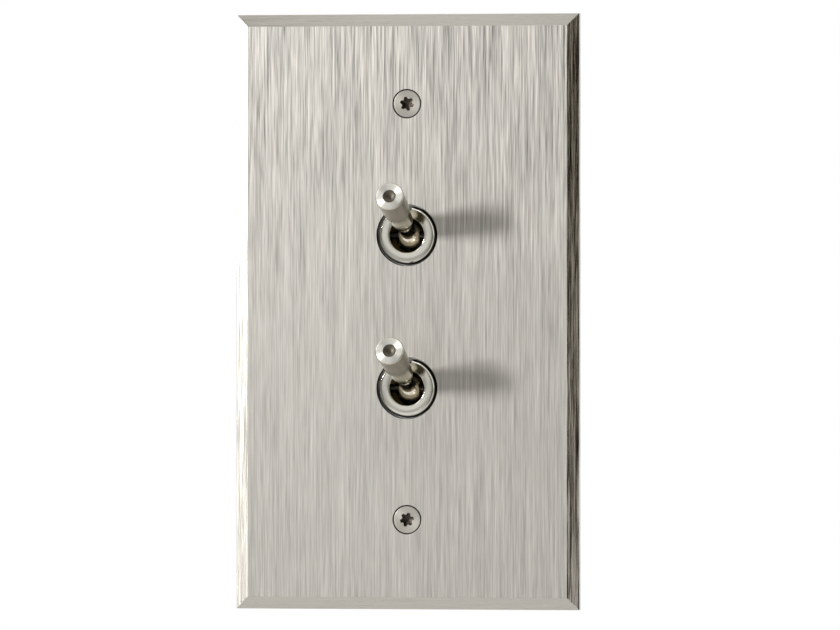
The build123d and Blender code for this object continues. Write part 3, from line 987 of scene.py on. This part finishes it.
LEVER = {
    "bat": turned_metal(
        "lever_satin", (0.53, 0.485, 0.4), roughness=0.12, marks=0.2, anisotropy=0.5
    ),
    "tip": turned_metal(
        "lever_tip_faced", (0.7, 0.685, 0.63), roughness=0.44, marks=0.35, anisotropy=0.9
    ),
    # dimple: painted shade, much darker than the rest of the lever's metal
    "dimple": turned_metal(
        "lever_dimple_painted_shade", (0.13, 0.115, 0.09), roughness=0.5, marks=0.35, anisotropy=0.3
    ),
    # ball: painted light, lighter than the bat's metal of the same lever, for the light it catches in the bore
    "ball": turned_metal(
        "lever_ball_painted_light", (0.8, 0.74, 0.64), roughness=0.2, marks=0.1, anisotropy=0.2
    ),
}
BUSH = {
    "face": turned_metal(
        "bush_polished", (0.6, 0.585, 0.52), roughness=0.1, marks=0.1, anisotropy=0.3
    ),
    # gap: painted shade, dark, on the front of the thread inside the plate's hole
    "gap": turned_metal(
        "bush_thread_painted_shade", (0.07, 0.062, 0.052), roughness=0.3, marks=0.3, anisotropy=0.2
    ),
}
SCREW = {
    "head": turned_metal(
        "screw_stainless", (0.5, 0.48, 0.43), roughness=0.32, marks=0.3, anisotropy=0.4, dull=0.1
    ),
    # shaded: painted shade, dark, in the recess and under the head
    "shaded": turned_metal(
        "screw_recess_painted_shade", (0.06, 0.05, 0.04), roughness=0.4, marks=0.3, anisotropy=0.2
    ),
}
# The pin is coloured near black as painted shade for the shade inside the bore.
PIN_PAINTED_SHADE = turned_metal(
    "pin_painted_shade", (0.03, 0.028, 0.026), roughness=0.3, marks=0.2, anisotropy=0.2
)
ZINC = plated_metal("zinc_plate", (0.56, 0.58, 0.59), roughness=0.28)
WIRE = plated_metal("spring_wire", (0.45, 0.45, 0.45), roughness=0.25)
BRASS = plated_metal("contact_brass", (0.62, 0.44, 0.18), roughness=0.3)
SCREW_BRASS = plated_metal("terminal_screw_brass", (0.66, 0.5, 0.24), roughness=0.24)
CASE = moulding("case_moulding", (0.012, 0.011, 0.0105), roughness=0.42)
PLUNGER = moulding("plunger_moulding", (0.7, 0.67, 0.6), roughness=0.4)

# The pieces and the carried-over nodes

make_faceplate(PLATE)
dress_node("mounting_strap", ZINC, SHEET_EASE)
for name in SWITCHES:
    make_plate_screw(name, SCREW)
    make_bush(name, BUSH)
    make_lever(name, LEVER)
    make_spring(name, WIRE)
    for part in ("front_nut", "lock_washer", "rear_nut", "cover"):
        dress_node(f"{name}_{part}", ZINC, SHEET_EASE)
    dress_node(f"{name}_case", CASE, CASE_EASE)
    dress_node(f"{name}_pivot_pin", PIN_PAINTED_SHADE)
    dress_node(f"{name}_plunger", PLUNGER)
    for part in ("rocker", "centre_terminal", "top_terminal", "bottom_terminal"):
        dress_node(f"{name}_{part}", BRASS, SHEET_EASE)
    dress_node(f"{name}_terminal_screws", SCREW_BRASS, SHEET_EASE)

# The plate mirrors what stands a little to the left of the middle. The white gap between the right and
# left cards lights the polished faces, and the gap beyond the left card lights the left bevel, whose finish also
# carries painted light, while the right bevel's finish carries painted shade.

make_floor()
card("right_card", azimuth=27.0, distance=0.55, width=0.687, height=0.9)
card("left_card", azimuth=-24.25, distance=0.55, width=0.15, height=0.9)
card("far_left_card", azimuth=-71.0, distance=0.9, width=0.8, height=0.7)
soft_light("key", azimuth=-43.5, elevation=12.0, distance=0.9, width=0.12, height=0.14, watts=5.4)
soft_light("side", azimuth=-62.0, elevation=38.0, distance=1.0, width=0.35, height=0.35, watts=2.5)
soft_light("top", azimuth=0.0, elevation=75.0, distance=1.0, width=0.8, height=0.5, watts=1.0)
make_world(WORLD_DIFFUSE)
make_camera()
bpy.context.scene.view_settings.view_transform = "Standard"
